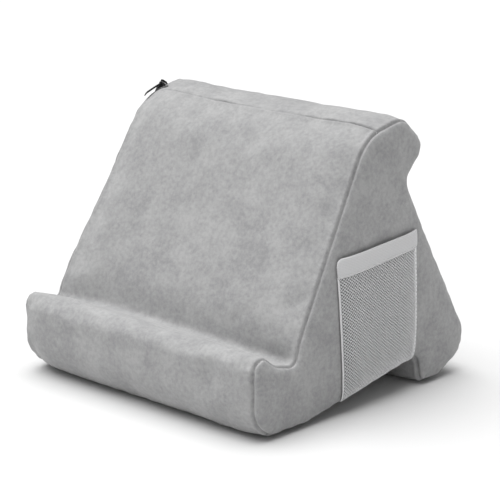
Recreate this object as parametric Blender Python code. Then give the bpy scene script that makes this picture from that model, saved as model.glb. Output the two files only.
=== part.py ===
"""Cushion stand: a foam wedge with a groove in each of its three faces, in a sewn and zipped plush cover.

The body is one outline in the Y-Z plane, drawn along X. Its front leans back from a padded lip, its
underside stands on the front edge and on a rear foot, and a mesh pocket hangs on its right end.
Metres, +Z up, the front towards -Y. The origin is on the floor, under the middle of the front edge.
"""

import math
from collections import namedtuple

import bmesh
import bpy
from mathutils import Matrix, Vector

MM = 0.001
Corner = namedtuple("Corner", "y z radius")

# Body: the outline at mid-width, as corners before they are rounded
SEAM_WIDTH = 291.3 * MM  # from the left end's seam to the right end's, at the floor
END_LEAN = math.radians(2)  # both ends lean in towards the top
HEIGHT = 250.4 * MM
LIP_HEIGHT = 81.2 * MM
LIP_FRONT = -50.4 * MM
LIP_RAKE = 3 * MM  # how far the lip's crest lies behind its foot
LIP_SLOPE = math.radians(-20)  # the ledge behind the lip's crest falls towards the groove
LEAN = math.radians(61.2)  # slope of the leaning front face
GROOVE_DEPTH = 49.2 * MM  # from the lip's crest to the bottom of the front groove
TOP_SLOPE = math.radians(11)
TOP_DEPTH = 51.6 * MM
REAR_LIP_REACH = 33.6 * MM
REAR_LIP_DROP = 31 * MM
REAR_LIP_THICKNESS = 29 * MM
BACK_SLOPE = math.radians(-62)
BELLY_Y = 19 * MM  # here the underside leaves the floor
FOOT_FRONT = 166.8 * MM
FOOT_REAR = 194 * MM
FOOT_DEPTH = 25.4 * MM  # how far the rear foot stands below the groove in the underside
FOOT_RAKE = 4.4 * MM
HEEL_SLOPE = math.radians(24.3)
ROUND_STEP = math.radians(19)  # one facet of a rounded corner

TOE_RADIUS = 30 * MM
BELLY_RADIUS = 40 * MM
FOOT_GROOVE_RADIUS = 5 * MM
FOOT_TIP_RADIUS = 8 * MM
FOOT_REAR_RADIUS = 15 * MM
HEEL_RADIUS = 30 * MM
REAR_GROOVE_RADIUS = 6 * MM
REAR_LIP_RADIUS = 18 * MM
RIDGE_RADIUS = 20 * MM
BROW_RADIUS = 50 * MM
GROOVE_RADIUS = 8 * MM
CREST_RADIUS = 20 * MM
LEAST_RADIUS = 0.4 * MM
SHARP_FROM = math.radians(40)
WELD = 0.001 * MM

# Cover and core
FABRIC = 2.0 * MM
CLEARANCE = 0.3 * MM
END_TUCK = 4 * MM  # the outline at the end seams lies this far inside the one at mid-width
TUCK_LENGTH = 32 * MM
TUCK_STATIONS = 5
TUCK_GROWTH = 1.5  # above 1, the stations lie closest together at the seam
END_CROWN = 5.3 * MM  # how far the padded ends stand out from their seams
CROWN_WIDTH = 10 * MM
CROWN_RINGS = 4

# Mesh pocket on the right end: its corners in the end's plane
POCKET_FRONT_TOP = (53.8 * MM, 140 * MM)
POCKET_REAR_TOP = (159.2 * MM, 147 * MM)
POCKET_FRONT_FOOT = 59 * MM  # along Y, on the seam with the underside
POCKET_REAR_FOOT = 157 * MM
POCKET_STANDOFF = 6.5 * MM
POCKET_SIDE_POWER = 6  # the higher, the closer to the sewn edge the cloth rises
POCKET_FOOT_POWER = 4
MESH_THICKNESS = 1.2 * MM
MESH_HEM = 5 * MM
MESH_HOLES = (11, 10)  # along Y and up
MESH_CORD_SHARE = 0.4  # of one pitch that is cord and not hole
BAND_HEIGHT = 17 * MM
BAND_THICKNESS = 2.2 * MM
BAND_CELLS = 12

# Zip in the left end, along a line in the end's plane
ZIP_FROM_RIDGE = (-18.4 * MM, -15 * MM)  # to the slider's middle when the zip is closed
ZIP_SLOPE = math.radians(58)
ZIP_LENGTH = 190 * MM
ZIP_SLOT = 13 * MM
TAPE_THICKNESS = 0.8 * MM
TAPE_DEPTH = 0.2 * MM  # the tapes' faces lie this far under the end's face
COIL_WIDTH = 2.2 * MM
COIL_HEIGHT = 1.8 * MM
COIL_GAP = 1.5 * MM
TAIL_LENGTH = 20 * MM
TAIL_RINGS = 2  # of the crowned end's rings that the tail covers
SLIDER_LENGTH = 11 * MM
SLIDER_PLATE = 0.75 * MM
SLIDER_NECK = 0.8 * MM
NECK_LENGTH = 3 * MM
BAIL_HEIGHT = 2.9 * MM
BAIL_THICKNESS = 1.0 * MM
PULL_LENGTH = 24 * MM
PULL_WIDTH = 7 * MM
PULL_THICKNESS = 1.0 * MM
PULL_EYE = 3.2 * MM
STOP_LENGTH = 2.5 * MM


def material(name, colour, roughness, metallic=0.0):
    made = bpy.data.materials.new(name)
    made.use_nodes = True
    shader = made.node_tree.nodes["Principled BSDF"]
    shader.inputs["Base Color"].default_value = (*colour, 1.0)
    shader.inputs["Roughness"].default_value = roughness
    shader.inputs["Metallic"].default_value = metallic
    return made


def corners():
    """The body's corners at mid-width, anticlockwise seen from +X with +Y to the right."""
    crest_y = LIP_FRONT + LIP_RAKE
    groove_y = crest_y + GROOVE_DEPTH
    groove_z = LIP_HEIGHT + GROOVE_DEPTH * math.tan(LIP_SLOPE)
    ridge_z = HEIGHT
    # The leaning face and the top meet where their two lines cross.
    lean, top = math.tan(LEAN), math.tan(TOP_SLOPE)
    brow_z = ridge_z - TOP_DEPTH * top
    brow_y = groove_y + (brow_z - groove_z) / lean
    ridge_y = brow_y + TOP_DEPTH
    lip_y, lip_z = ridge_y + REAR_LIP_REACH, ridge_z - REAR_LIP_DROP
    notch_y, notch_z = lip_y - REAR_LIP_THICKNESS, lip_z - REAR_LIP_THICKNESS
    # So do the back and the rising underside of the heel.
    back, heel = math.tan(BACK_SLOPE), math.tan(HEEL_SLOPE)
    heel_y = (notch_z - notch_y * back + FOOT_REAR * heel) / (heel - back)
    heel_z = (heel_y - FOOT_REAR) * heel
    return {
        "toe": Corner(LIP_FRONT, 0, TOE_RADIUS),
        "belly": Corner(BELLY_Y, 0, BELLY_RADIUS),
        "foot_groove": Corner(FOOT_FRONT - FOOT_RAKE, FOOT_DEPTH, FOOT_GROOVE_RADIUS),
        "foot_tip": Corner(FOOT_FRONT, 0, FOOT_TIP_RADIUS),
        "foot_rear": Corner(FOOT_REAR, 0, FOOT_REAR_RADIUS),
        "heel": Corner(heel_y, heel_z, HEEL_RADIUS),
        "rear_groove": Corner(notch_y, notch_z, REAR_GROOVE_RADIUS),
        "rear_lip": Corner(lip_y, lip_z, REAR_LIP_RADIUS),
        "ridge": Corner(ridge_y, ridge_z, RIDGE_RADIUS),
        "brow": Corner(brow_y, brow_z, BROW_RADIUS),
        "groove": Corner(groove_y, groove_z, GROOVE_RADIUS),
        "crest": Corner(crest_y, LIP_HEIGHT, CREST_RADIUS),
    }


def rounded(inset):
    """The outline moved inwards by inset, as the points of each corner's arc, by corner name."""
    named = corners()
    points = [Vector((c.y, c.z)) for c in named.values()]
    arcs = {}
    for i, (name, corner) in enumerate(named.items()):
        here = points[i]
        before = (here - points[i - 1]).normalized()
        after = (points[(i + 1) % len(points)] - here).normalized()
        turn = before.angle_signed(after, 0.0) * -1  # positive where the outline is convex
        inward = Vector((-before.y, before.x))
        moved = here + inset * (inward + before * -math.tan(turn / 2))
        side = math.copysign(1, turn)
        radius = max(corner.radius - side * inset, LEAST_RADIUS)
        start = moved - before * radius * math.tan(abs(turn) / 2)
        centre = start + inward * side * radius
        steps = max(2, math.ceil(abs(turn) / ROUND_STEP))
        arcs[name] = [
            centre + Matrix.Rotation(turn * k / steps, 2) @ (start - centre)
            for k in range(steps + 1)
        ]
    return arcs


def loop(inset):
    """The whole outline as one closed run of points, from the toe round to the toe again."""
    points = [p for arc in rounded(inset).values() for p in arc]
    return points + points[:1]


def tuck(x):
    """How far the outline lies inside the mid-width one at this distance from the middle."""
    from_seam = SEAM_WIDTH / 2 - abs(x)
    return END_TUCK * max(0.0, 1 - from_seam / TUCK_LENGTH) ** 2


def stations(reach):
    """Places along X from -reach to +reach, close together near the ends."""
    shares = [(k / TUCK_STATIONS) ** TUCK_GROWTH for k in range(TUCK_STATIONS + 1)]
    steps = [TUCK_LENGTH * share for share in shares]
    right = [reach - step for step in reversed(steps)]
    return [-x for x in reversed(right)] + right


def crown(inset):
    """How far a padded end stands out from its seam, by the distance inside the seam."""
    rise = min(max(inset / CROWN_WIDTH, 0.0), 1.0)
    return CLEARANCE + (END_CROWN - CLEARANCE) * math.sqrt(1 - (1 - rise) ** 2)


def crown_insets():
    """Distances inside the seam for the rings of a crowned end."""
    return [
        CROWN_WIDTH * (1 - math.cos(math.pi / 2 * k / CROWN_RINGS)) for k in range(CROWN_RINGS + 1)
    ]


def ring(inset, x):
    return [Vector((x, p.x, p.y)) for p in loop(inset)]


def leaning(point):
    """The point moved towards the middle with its height, as the ends lean in."""
    share = min(abs(point.x) / (SEAM_WIDTH / 2), 1.0)
    inwards = math.copysign(share * point.z * math.tan(END_LEAN), -point.x)
    return point + Vector((inwards, 0, 0))


def grid(bm, rows):
    """A sheet of quads through rows of points, which lean with the ends."""
    made = bmesh.ops.create_grid(
        bm, x_segments=len(rows[0]) - 1, y_segments=len(rows) - 1, size=1.0
    )
    for vert, point in zip(made["verts"], (p for row in rows for p in row)):
        vert.co = leaning(point)


def close(bm):
    """Weld the sheet's meeting edges, cap its ends and turn its faces outwards."""
    bmesh.ops.remove_doubles(bm, verts=bm.verts, dist=WELD)
    bmesh.ops.holes_fill(bm, edges=bm.edges, sides=0)
    bmesh.ops.recalc_face_normals(bm, faces=bm.faces)


def finish(name, bm, finish_material, parent=None):
    mesh = bpy.data.meshes.new(name)
    bm.to_mesh(mesh)
    bm.free()
    mesh.shade_smooth()
    mesh.set_sharp_from_angle(angle=SHARP_FROM)
    mesh.materials.append(finish_material)
    made = bpy.data.objects.new(name, mesh)
    bpy.context.scene.collection.objects.link(made)
    made.parent = parent
    return made


def lofted(name, rows, finish_material, parent=None):
    """A closed solid through closed rows of points, capped at both ends."""
    bm = bmesh.new()
    grid(bm, rows)
    close(bm)
    return finish(name, bm, finish_material, parent)


def foam_core(foam):
    """One block of foam that fills the cover, with a clearance all round."""
    inside = END_TUCK + FABRIC + CLEARANCE
    seam = SEAM_WIDTH / 2
    rows = []
    for inset in reversed(crown_insets()):
        rows.append(ring(inside + inset, -seam - crown(inset) + FABRIC + CLEARANCE))
    for x in stations(seam - FABRIC - 2 * CLEARANCE)[1:-1]:
        rows.append(ring(tuck(x) + FABRIC + CLEARANCE, x))
    for inset in crown_insets():
        rows.append(ring(inside + inset, seam + crown(inset) - FABRIC - CLEARANCE))
    return lofted("foam_core", rows, foam)


def panel_run(name, inset):
    """The stretch of outline that one sewn panel covers, between its two seams."""
    arcs = rounded(inset)
    toe, heel, brow = arcs["toe"], arcs["heel"], arcs["brow"]
    toe_seam, heel_seam, brow_seam = len(toe) - 2, len(heel) // 2, 1
    runs = {
        "front_panel": [brow[brow_seam:], arcs["groove"], arcs["crest"], toe[: toe_seam + 1]],
        "base_panel": [
            toe[toe_seam:],
            arcs["belly"],
            arcs["foot_groove"],
            arcs["foot_tip"],
            arcs["foot_rear"],
            heel[: heel_seam + 1],
        ],
        "back_panel": [
            heel[heel_seam:],
            arcs["rear_groove"],
            arcs["rear_lip"],
            arcs["ridge"],
            brow[: brow_seam + 1],
        ],
    }
    points = [p for run in runs[name] for p in run]
    for end, towards in ((0, 1), (-1, -2)):
        step = (points[towards] - points[end]).normalized()
        points[end] = points[end] + step * CLEARANCE / 2
    return points


def wrap_panel(name, plush):
    """One sewn panel: an open run of the outline, drawn along X, with the fabric's thickness."""
    rows = []
    for x in stations(SEAM_WIDTH / 2):
        outer = [Vector((x, p.x, p.y)) for p in panel_run(name, tuck(x))]
        inner = [Vector((x, p.x, p.y)) for p in panel_run(name, tuck(x) + FABRIC)]
        rows.append(outer + inner[::-1] + outer[:1])
    return lofted(name, rows, plush)


def end_gusset(name, side, plush):
    """The crowned fabric end, as a shell: from its inner face, round the seam's edge, to its outer."""
    seam = SEAM_WIDTH / 2
    rows = []
    for inset in reversed(crown_insets()):
        x = max(seam + crown(inset) - FABRIC, seam + CLEARANCE)
        rows.append(ring(END_TUCK + FABRIC + inset, side * x))
    for inset in crown_insets():
        rows.append(ring(END_TUCK + inset, side * (seam + crown(inset))))
    return lofted(name, rows, plush)


def inside_seam(y, z):
    """Distance of a point of the end's plane from the end seam, positive inside it."""
    here = Vector((y, z))
    edge = loop(END_TUCK)
    nearest = math.inf
    inside = False
    for a, b in zip(edge, edge[1:]):
        along = b - a
        if along.length > 0:
            share = min(max((here - a).dot(along) / along.length_squared, 0.0), 1.0)
            nearest = min(nearest, (here - a - along * share).length)
        if (a.y > z) != (b.y > z) and y < a.x + (z - a.y) * along.x / along.y:
            inside = not inside
    return nearest if inside else -nearest


def foot_height(y):
    """Height of the end seam along the underside, at this place along Y."""
    edge = rounded(END_TUCK)
    a, b = edge["belly"][-1], edge["foot_groove"][0]
    return a.y + (y - a.x) * (b.y - a.y) / (b.x - a.x)


def pocket_point(across, up):
    """A point of the pocket's inner face: across 0..1 front to rear, up 0..1 from its foot."""
    front_foot = Vector((POCKET_FRONT_FOOT, foot_height(POCKET_FRONT_FOOT)))
    rear_foot = Vector((POCKET_REAR_FOOT, foot_height(POCKET_REAR_FOOT)))
    low = front_foot.lerp(rear_foot, across)
    high = Vector(POCKET_FRONT_TOP).lerp(Vector(POCKET_REAR_TOP), across)
    at = low.lerp(high, up)
    # The cloth is sewn down along both sides and the foot, and stands away in between.
    side_rise = 1 - abs(2 * across - 1) ** POCKET_SIDE_POWER
    foot_rise = 1 - (1 - up) ** POCKET_FOOT_POWER
    face = SEAM_WIDTH / 2 + crown(inside_seam(at.x, at.y)) + CLEARANCE
    return Vector((face + POCKET_STANDOFF * side_rise * foot_rise, at.x, at.y))


def pocket_height():
    foot = Vector((POCKET_FRONT_FOOT, foot_height(POCKET_FRONT_FOOT)))
    return (Vector(POCKET_FRONT_TOP) - foot).length


def pocket_width():
    return (Vector(POCKET_REAR_TOP) - Vector(POCKET_FRONT_TOP)).length


def mesh_lines(count, first, last):
    """Places between first and last at which the mesh's holes begin and end, in turn."""
    pitch = (last - first) / count
    edges = (MESH_CORD_SHARE / 2, 1 - MESH_CORD_SHARE / 2)
    return [first + pitch * (k + edge) for k in range(count) for edge in edges]


def pocket_mesh(netting):
    """The pocket's net: a bowed sheet, open between its cords, hemmed at its sides and foot."""
    width, height = pocket_width(), pocket_height()
    across = [0.0, *mesh_lines(MESH_HOLES[0], MESH_HEM, width - MESH_HEM), width]
    # The foot's hem follows the rounded edge of the end down to its seam.
    hem = crown_insets()[1:-1]
    top = height - BAND_HEIGHT - CLEARANCE
    up = [*hem, *mesh_lines(MESH_HOLES[1], hem[-1], top), top]
    bm = bmesh.new()
    grid(bm, [[pocket_point(u / width, v / height) for u in across] for v in up])
    bm.faces.ensure_lookup_table()
    columns = len(across) - 1
    hem_faces = columns * len(hem)
    holes = []
    for face in bm.faces[hem_faces:]:
        row, column = divmod(face.index - hem_faces, columns)
        if row % 2 == 0 and column % 2 == 1:
            holes.append(face)
    bmesh.ops.delete(bm, geom=holes, context="FACES")
    made = finish("pocket_mesh", bm, netting)
    thicken(made, MESH_THICKNESS)
    return made


def thicken(made, thickness):
    """Gives a sheet its thickness, outwards from the end it hangs on."""
    wall = made.modifiers.new("thickness", "SOLIDIFY")
    wall.thickness = thickness
    wall.offset = 1
    wall.use_even_offset = True


def pocket_band(elastic):
    """The elastic binding along the pocket's mouth."""
    share = BAND_HEIGHT / pocket_height()
    across = [k / BAND_CELLS for k in range(BAND_CELLS + 1)]
    up = [1 - share, 1 - share / 2, 1.0]
    bm = bmesh.new()
    grid(bm, [[pocket_point(u, v) for u in across] for v in up])
    made = finish("pocket_band", bm, elastic)
    thicken(made, BAND_THICKNESS)
    return made


def zip_top():
    """The closed slider's middle, in the end's plane."""
    ridge = corners()["ridge"]
    return Vector((ridge.y, ridge.z)) + Vector(ZIP_FROM_RIDGE)


def zip_frame():
    """An empty on the left end's face, at the closed slider: its X up the zip, its Z out of the end."""
    top = zip_top()
    place = Vector((-SEAM_WIDTH / 2 - END_CROWN, top.x, top.y))
    further = place + Vector((0, math.cos(ZIP_SLOPE), math.sin(ZIP_SLOPE)))
    up = (leaning(further) - leaning(place)).normalized()
    out = up.cross(Vector((0, 1, 0))).normalized()
    across = out.cross(up)
    turned = Matrix((up, across, out)).transposed().to_4x4()
    made = bpy.data.objects.new("zip_line", None)
    bpy.context.scene.collection.objects.link(made)
    made.matrix_world = Matrix.Translation(leaning(place)) @ turned
    bpy.context.view_layer.update()
    return made


def block(bm, low, high):
    """A box between two corners."""
    low, high = Vector(low), Vector(high)
    place = Matrix.Translation((low + high) / 2) @ Matrix.Diagonal((*(high - low), 1))
    bmesh.ops.create_cube(bm, size=1.0, matrix=place)


def boxes(name, spans, finish_material, parent):
    """One solid joined from overlapping boxes."""
    first = None
    for number, (low, high) in enumerate(spans):
        bm = bmesh.new()
        block(bm, low, high)
        made = finish(name if number == 0 else f"{name}_joined_{number}", bm, finish_material, parent)
        if number == 0:
            first = made
            continue
        made.hide_render = True
        made.display_type = "WIRE"
        join = first.modifiers.new(f"join_{number}", "BOOLEAN")
        join.operation = "UNION"
        join.object = made
    return first


def zip_low():
    """Where the zip ends below the closed slider, along the zip's line."""
    return -ZIP_LENGTH + SLIDER_LENGTH / 2


def zip_high():
    """Where the tapes leave the end at its top seam, along the zip's line."""
    reach = SLIDER_LENGTH / 2
    up = Vector((math.cos(ZIP_SLOPE), math.sin(ZIP_SLOPE)))
    while inside_seam(*(zip_top() + up * reach)) > FABRIC:
        reach += CLEARANCE
    return reach


def zip_slot(gusset, zip_line):
    """The opening in the left end that the zip closes."""
    bm = bmesh.new()
    half = ZIP_SLOT / 2
    depth = FABRIC + END_CROWN
    block(bm, (zip_low() - CLEARANCE, -half, -depth), (zip_high() + CLEARANCE, half, depth))
    bmesh.ops.recalc_face_normals(bm, faces=bm.faces)
    cutter = finish("zip_slot_cutter", bm, gusset.data.materials[0], zip_line)
    cutter.hide_render = True
    cutter.display_type = "WIRE"
    cut = gusset.modifiers.new("zip_slot", "BOOLEAN")
    cut.operation = "DIFFERENCE"
    cut.object = cutter


def zip_tapes(nylon, zip_line):
    half = ZIP_SLOT / 2 - CLEARANCE
    low, high = zip_low(), zip_high()
    top, bottom = -TAPE_DEPTH, -TAPE_DEPTH - TAPE_THICKNESS
    for name, side in (("zip_tape_front", -1), ("zip_tape_rear", 1)):
        edges = sorted((side * COIL_GAP / 2, side * half))
        boxes(name, [((low, edges[0], bottom), (high, edges[1], top))], nylon, zip_line)


def tail_run(inset):
    """The outline from the tapes' upper end forward, for the length of the tail."""
    arcs = rounded(inset)
    behind, brow = arcs["ridge"][-1], arcs["brow"]
    along = (brow[0] - behind).normalized()
    up = Vector((math.cos(ZIP_SLOPE), math.sin(ZIP_SLOPE)))
    half = ZIP_SLOT / 2
    tape_edge = zip_top() + up * (zip_high() - half) + Vector((-up.y, up.x)) * half
    start = behind + along * ((tape_edge - behind).dot(along) + CLEARANCE)
    run, left = [start], TAIL_LENGTH
    for here, ahead in zip([start, *brow], brow):
        step = (ahead - here).length
        if step >= left:
            return [*run, here.lerp(ahead, left / step)]
        run.append(ahead)
        left -= step
    return run


def zip_tail(nylon):
    """The tapes' end, turned forward on the rounded edge under the top seam."""
    layers = []
    for lift, turns in (
        (CLEARANCE, range(TAIL_RINGS + 1)),
        (CLEARANCE + TAPE_THICKNESS, reversed(range(TAIL_RINGS + 1))),
    ):
        for k in turns:
            turn = math.pi / 2 * k / CROWN_RINGS
            inset = CROWN_WIDTH - (CROWN_WIDTH + lift) * math.cos(turn)
            rise = CLEARANCE + (END_CROWN - CLEARANCE + lift) * math.sin(turn)
            x = -SEAM_WIDTH / 2 - rise
            layers.append([Vector((x, p.x, p.y)) for p in tail_run(END_TUCK + inset)])
    rows = [[*row, row[0]] for row in zip(*layers)]
    return lofted("zip_tail", rows, nylon)


def zip_coils(nylon, zip_line):
    """The two rows of the closed coil, on the tapes."""
    bottom = -TAPE_DEPTH + CLEARANCE
    for name, side in (("zip_coil_front", -1), ("zip_coil_rear", 1)):
        inner = side * COIL_GAP / 2
        edges = sorted((inner, inner + side * COIL_WIDTH))
        low = (zip_low() + STOP_LENGTH + CLEARANCE, edges[0], bottom)
        boxes(name, [(low, (SLIDER_LENGTH / 2, edges[1], bottom + COIL_HEIGHT))], nylon, zip_line)


def zip_stop(name, start, metal, zip_line):
    """A crimped stop across both rows at an end of the coil."""
    half = COIL_GAP / 2 + COIL_WIDTH
    bottom = -TAPE_DEPTH + CLEARANCE
    low, high = (start, -half, bottom), (start + STOP_LENGTH, half, bottom + COIL_HEIGHT)
    boxes(name, [(low, high)], metal, zip_line)


def slider_roof():
    """Height of the slider's upper face over the end's face."""
    return -TAPE_DEPTH + CLEARANCE + COIL_HEIGHT + CLEARANCE + SLIDER_PLATE


def zip_slider(metal, zip_line):
    """Two plates joined by a neck between the tapes, with a bail on top for the pull."""
    inner = COIL_GAP / 2 + COIL_WIDTH + CLEARANCE
    outer = inner + SLIDER_PLATE
    end = SLIDER_LENGTH / 2
    neck = SLIDER_NECK / 2
    top = slider_roof()
    roof, in_roof = top - SLIDER_PLATE, top - SLIDER_PLATE / 2
    rail = -TAPE_DEPTH + CLEARANCE
    floor = -TAPE_DEPTH - TAPE_THICKNESS - CLEARANCE
    spans = [
        ((-end, -outer, roof), (end, outer, top)),
        ((-end, -outer, rail), (end, -inner, in_roof)),
        ((-end, inner, rail), (end, outer, in_roof)),
        ((end - NECK_LENGTH, -neck, floor - SLIDER_PLATE / 2), (end, neck, in_roof)),
        ((-end, -inner, floor - SLIDER_PLATE), (end, inner, floor)),
    ]
    half = BAIL_THICKNESS / 2
    bail, arch = end - BAIL_THICKNESS, top + BAIL_HEIGHT
    for post in (-bail, bail - BAIL_THICKNESS):
        spans.append(((post, -half, in_roof), (post + BAIL_THICKNESS, half, arch)))
    spans.append(((-bail, -half, arch - BAIL_THICKNESS), (bail, half, arch)))
    return boxes("zip_slider", spans, metal, zip_line)


def zip_pull(metal, zip_line):
    """The pull: a flat tab whose eye goes round the bail, hanging down the zip."""
    half, thin = PULL_WIDTH / 2, PULL_THICKNESS / 2
    hinge = bpy.data.objects.new("pull_axis", None)
    bpy.context.scene.collection.objects.link(hinge)
    hinge.parent = zip_line
    hinge.location = (0, 0, slider_roof() + CLEARANCE + thin)
    arm = (PULL_WIDTH - PULL_EYE) / 2
    eye_end = -thin - SLIDER_LENGTH / 2
    spans = [
        ((-PULL_LENGTH, -half, -thin), (eye_end, half, thin)),
        ((eye_end - arm, -half, -thin), (thin, -half + arm, thin)),
        ((eye_end - arm, half - arm, -thin), (thin, half, thin)),
        ((-thin, -half, -thin), (thin, half, thin)),
    ]
    return boxes("zip_pull", spans, metal, hinge)


def main():
    for old in list(bpy.data.objects):
        bpy.data.objects.remove(old)
    foam = material("foam", (0.80, 0.78, 0.70), 0.9)
    plush = material("plush", (0.36, 0.36, 0.36), 0.85)
    netting = material("netting", (0.42, 0.42, 0.42), 0.7)
    elastic = material("elastic", (0.52, 0.52, 0.52), 0.65)
    nylon = material("nylon", (0.01, 0.01, 0.01), 0.5)
    metal = material("enamelled_metal", (0.01, 0.01, 0.01), 0.35, 0.6)

    foam_core(foam)
    for name in ("front_panel", "base_panel", "back_panel"):
        wrap_panel(name, plush)
    left = end_gusset("left_gusset", -1, plush)
    end_gusset("right_gusset", 1, plush)
    pocket_mesh(netting)
    pocket_band(elastic)

    zip_line = zip_frame()
    zip_slot(left, zip_line)
    zip_tapes(nylon, zip_line)
    zip_tail(nylon)
    zip_coils(nylon, zip_line)
    zip_stop("zip_top_stop", SLIDER_LENGTH / 2 + CLEARANCE, metal, zip_line)
    zip_stop("zip_bottom_stop", zip_low(), metal, zip_line)
    zip_slider(metal, zip_line)
    zip_pull(metal, zip_line)


main()
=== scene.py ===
"""Looks of the cushion stand: its sewn plush cover, its mesh pocket and its zip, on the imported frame.

Metres, +Z up, the front towards -Y. The body is one outline in the Y-Z plane, drawn along X between
two padded ends. The pocket hangs on the end at +X, and the zip runs in the end at -X.
"""

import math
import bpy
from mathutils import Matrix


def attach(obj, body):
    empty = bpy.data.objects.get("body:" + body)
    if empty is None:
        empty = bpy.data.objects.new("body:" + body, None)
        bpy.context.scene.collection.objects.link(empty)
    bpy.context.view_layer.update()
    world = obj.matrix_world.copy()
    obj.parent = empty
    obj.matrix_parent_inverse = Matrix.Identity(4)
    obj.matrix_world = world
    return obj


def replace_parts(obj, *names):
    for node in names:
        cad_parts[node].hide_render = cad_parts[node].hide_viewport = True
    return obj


bl_info = {
    "name": "Cushion Stand",
    "version": (1, 0, 0),
    "blender": (4, 5, 0),
    "location": "View3D > Sidebar > Stand",
    "description": "Sews the plush cover, the mesh pocket and the zip of a cushion stand",
    "category": "Object",
}

from collections import namedtuple

import bmesh
import bpy
from bpy.props import FloatProperty, PointerProperty, StringProperty
from mathutils import Matrix, Vector, noise
from mathutils.bvhtree import BVHTree

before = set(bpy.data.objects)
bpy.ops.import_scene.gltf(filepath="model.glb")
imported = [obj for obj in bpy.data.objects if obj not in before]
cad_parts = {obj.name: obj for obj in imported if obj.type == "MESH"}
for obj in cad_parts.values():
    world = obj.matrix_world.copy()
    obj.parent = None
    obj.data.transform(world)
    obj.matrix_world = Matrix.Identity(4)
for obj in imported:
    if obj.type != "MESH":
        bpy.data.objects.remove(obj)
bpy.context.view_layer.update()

MM = 0.001
SEAM_X = 145.65 * MM  # the end seams lie this far from the middle, at the floor
END_LEAN = math.radians(2)  # both ends lean in towards the top
END_TUCK = 4 * MM  # how far the outline is drawn in at the end seams
TUCK_LENGTH = 32 * MM  # over this length beside them
END_CROWN = 5.3 * MM  # how far the ends' middle stands past their seams
CROWN_WIDTH = 10 * MM  # width of the ends' rounded edge
CROWN_ANGLES = (10, 22, 36, 52, 70, 90)
CORE_INSET = 6 * MM  # from the cover's face in to the foam's, clear of the deepest seam

# The body's corners at mid-width, anticlockwise seen from +X: y, z and radius
CORNERS = {
    "toe": (-50.4, 0, 30),
    "belly": (19, 0, 40),
    "foot_groove": (162.4, 25.4, 5),
    "foot_tip": (166.8, 0, 8),
    "foot_rear": (194, 0, 15),
    "heel": (244.47, 22.79, 30),
    "rear_groove": (155.35, 190.4, 6),
    "rear_lip": (184.35, 219.4, 18),
    "ridge": (150.75, 250.4, 20),
    "brow": (99.15, 240.37, 50),
    "groove": (1.8, 63.29, 8),
    "crest": (-47.4, 81.2, 15),
}
# Where the panels are sewn together, as shares of a corner's arc
PANEL_SEAMS = {"toe": 0.8, "heel": 0.5, "brow": 0.14}
# The lip's net is finer, because its folds are small
LIP_CELLS = {"groove": 0.55, "crest": 0.6}
LEAST_RADIUS = 0.4 * MM  # of a corner when the outline is moved inwards
COLUMN_TURN = math.radians(12)  # a corner's arc turns no more than this from one point to the next
# The net's points beside a seam of two panels, and in from the end seams
SEAM_STEPS = (0.8 * MM, 1.8 * MM, 3.2 * MM, 5.4 * MM)
SEAM_CLEAR = SEAM_STEPS[-1] * 1.3  # even points nearer than this make way for them
END_STEPS = (*SEAM_STEPS, 8.5 * MM, 12.5 * MM, 17.5 * MM, 23 * MM)
FAR = 1.0  # a distance that means nowhere near a seam

# Seams: the valley's half width, the rolled edge's place and width, and how far it all reaches
VALLEY = 0.95 * MM
ROLL_AT = 2.8 * MM
ROLL_WIDTH = 1.9 * MM
END_SEAM_REACH = 30 * MM
PANEL_SEAM_REACH = 40 * MM
# The top's front seam is drawn further open in two places: x and reach in mm, and how much more
TOP_GAPES = ((100, 34, 1.5), (-46, 12, 1.1))
TOP_EASE = 0.6  # elsewhere it is this much less deep than the other seams
# Gathers: their length along a seam, and how far they reach from it
END_GATHER = 8 * MM
FINE_GATHER = 4 * MM
END_GATHER_REACH = 9 * MM
PANEL_GATHER = 11 * MM
PANEL_GATHER_REACH = 8 * MM
GATHER_START = 2 * MM  # they have their full height from here on
UNEVEN = 0.45 * MM  # height of the foam's waves under the plush

# The plush as cloth while it is filled
PLUSH_CLOTH = {
    "quality": 4,
    "mass": 0.3,
    "tension_stiffness": 15,
    "compression_stiffness": 15,
    "shear_stiffness": 5,
    "bending_stiffness": 2,
    "use_pressure": True,
    "uniform_pressure_force": 4,
    "shrink_min": -0.006,
}
FILL_FRAMES = 20
END_SWELL = 0.5  # the ends swell less, because the pocket and the zip hold them flat

# Mesh pocket: its corners in the end's plane, and how it stands away
POCKET_FRONT_TOP = Vector((53.8, 140)) * MM
POCKET_REAR_TOP = Vector((159.2, 147)) * MM
POCKET_FRONT_FOOT = Vector((59, 11.2)) * MM
POCKET_REAR_FOOT = Vector((157, 28.5)) * MM
POCKET_FLAT = (  # width along the mouth, and height
    (POCKET_REAR_TOP - POCKET_FRONT_TOP).length,
    (POCKET_FRONT_TOP - POCKET_FRONT_FOOT).length,
)
POCKET_STANDOFF = 6.5 * MM
MOUTH_DRAW = 0.7  # share of it that the elastic takes up at the mouth
NET_EDGE = 1.5 * MM  # the net ends this far inside the pocket's edges, under the hems
NET_OVERLAP = 3 * MM  # and this far behind the elastic
RAY_START = 0.4  # an x well outside the stand
END_FACE = 0.1  # the ends lie further out than this

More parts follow.
